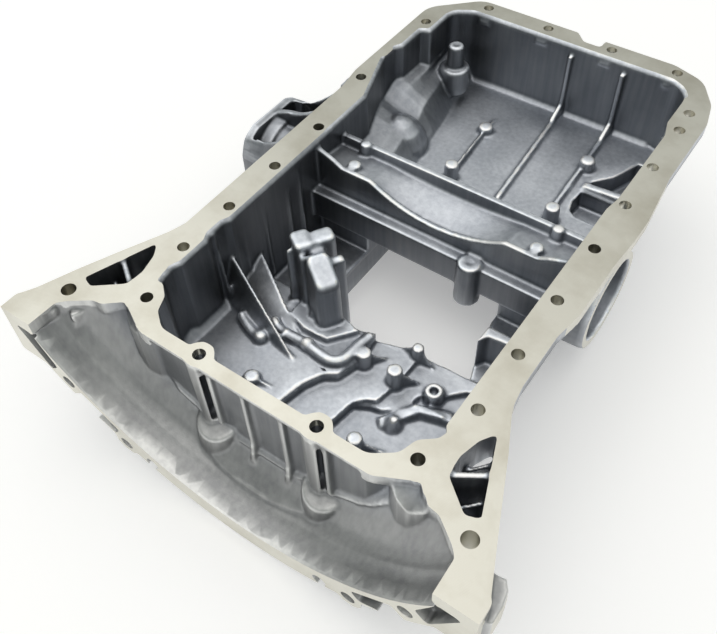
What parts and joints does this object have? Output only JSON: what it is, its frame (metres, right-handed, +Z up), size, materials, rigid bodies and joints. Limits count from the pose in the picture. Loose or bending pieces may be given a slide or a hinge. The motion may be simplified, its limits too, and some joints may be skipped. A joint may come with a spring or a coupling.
{
  "type": "engine oil pan",
  "caption": "Cast aluminium upper oil pan with a half-round bell flange at one end, a crossing axle tube, two chambers and a bolted rail face.",
  "frame": {"origin": "midway between the first pair of side rail bolts, on the machined rail face", "axes": "+Z up out of the rail face towards the crankcase, +Y along the crank line away from the bell flange, +X towards the round axle port"},
  "size_m": [0.373, 0.501, 0.126],
  "materials": {
    "cast_aluminium": "satin"
  },
  "bodies": {
    "root": {"oil_pan_casting": "cast_aluminium"}
  },
  "joints": []
}
